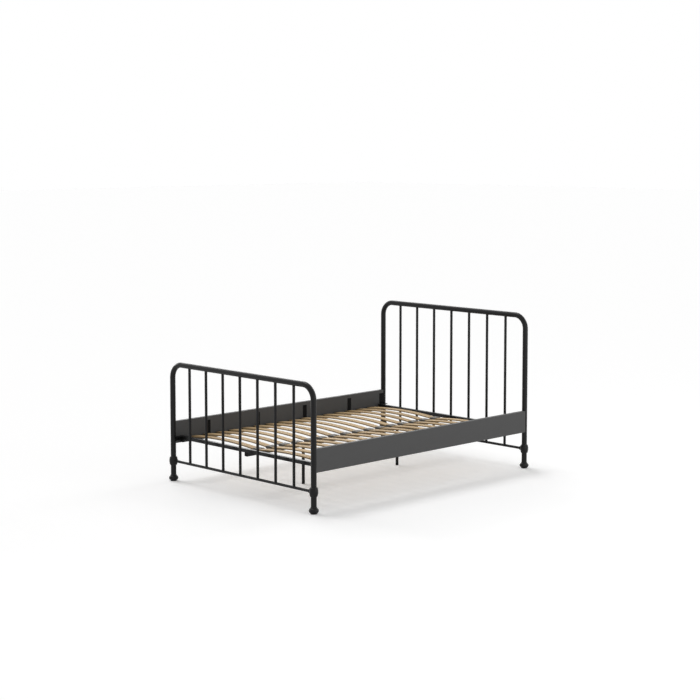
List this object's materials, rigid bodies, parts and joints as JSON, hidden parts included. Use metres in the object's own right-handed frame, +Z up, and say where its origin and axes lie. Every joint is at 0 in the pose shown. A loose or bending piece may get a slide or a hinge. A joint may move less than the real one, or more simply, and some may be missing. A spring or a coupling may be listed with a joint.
{
  "type": "bed frame",
  "caption": "Double bed frame with bent-tube headboard and footboard, upright spindles, flat side rails and a sprung slat base on centre legs",
  "frame": {"origin": "on the floor under the middle of the bed", "axes": "+X to the right seen from the footboard, +Y towards the headboard, +Z up"},
  "size_m": [1.501, 2.1608, 1.131],
  "materials": {
    "black_coat": "black satin powder coat on steel tube",
    "black_castings": "black satin powder coat on cast metal",
    "grey_coat": "dark grey satin powder coat on steel box section",
    "black_steel": "matt black coat on steel strip, brackets, bolts and screws",
    "black_plastic": "matt black moulded plastic",
    "grey_plastic": "matt grey moulded plastic",
    "birch_slats": "sealed birch plywood"
  },
  "bodies": {
    "frame": {"headboard_arch": "black_coat", "footboard_arch": "black_coat", "headboard_spindles": "black_coat", "footboard_spindles": "black_coat", "headboard_lower_rail": "black_coat", "footboard_lower_rail": "black_coat", "post_knuckles": "black_castings", "ball_feet": "black_castings", "side_rail_left": "grey_coat", "side_rail_right": "grey_coat", "rail_straps": "black_steel", "strap_screws": "black_steel", "corner_brackets": "black_steel", "corner_bolts": "black_steel", "slat_frame_side_left": "black_coat", "slat_frame_side_right": "black_coat", "slat_frame_crossbar_head": "black_coat", "slat_frame_crossbar_foot": "black_coat", "centre_beam": "black_coat", "tube_end_caps": "black_plastic", "centre_leg_head": "black_coat", "centre_leg_foot": "black_coat", "leg_bolts": "black_steel", "leg_thread_inserts": "black_plastic", "slat_seats": "black_plastic", "centre_slat_holders": "grey_plastic", "slat_left_01": "birch_slats", "slat_left_02": "birch_slats", "slat_left_03": "birch_slats", "slat_left_04": "birch_slats", "slat_left_05": "birch_slats", "slat_left_06": "birch_slats", "slat_left_07": "birch_slats", "slat_left_08": "birch_slats", "slat_left_09": "birch_slats", "slat_left_10": "birch_slats", "slat_left_11": "birch_slats", "slat_left_12": "birch_slats", "slat_left_13": "birch_slats", "slat_left_14": "birch_slats", "slat_left_15": "birch_slats", "slat_left_16": "birch_slats", "slat_right_01": "birch_slats", "slat_right_02": "birch_slats", "slat_right_03": "birch_slats", "slat_right_04": "birch_slats", "slat_right_05": "birch_slats", "slat_right_06": "birch_slats", "slat_right_07": "birch_slats", "slat_right_08": "birch_slats", "slat_right_09": "birch_slats", "slat_right_10": "birch_slats", "slat_right_11": "birch_slats", "slat_right_12": "birch_slats", "slat_right_13": "birch_slats", "slat_right_14": "birch_slats", "slat_right_15": "birch_slats", "slat_right_16": "birch_slats"},
    "glide_head": {"levelling_glide_head": "black_plastic"},
    "glide_foot": {"levelling_glide_foot": "black_plastic"}
  },
  "joints": [
    {"name": "glide_head_travel", "type": "slide", "parent": "frame", "child": "glide_head", "axis": [0, 0, -1], "range_m": [0, 0.012]},
    {"name": "glide_foot_travel", "type": "slide", "parent": "frame", "child": "glide_foot", "axis": [0, 0, -1], "range_m": [0, 0.012]}
  ]
}
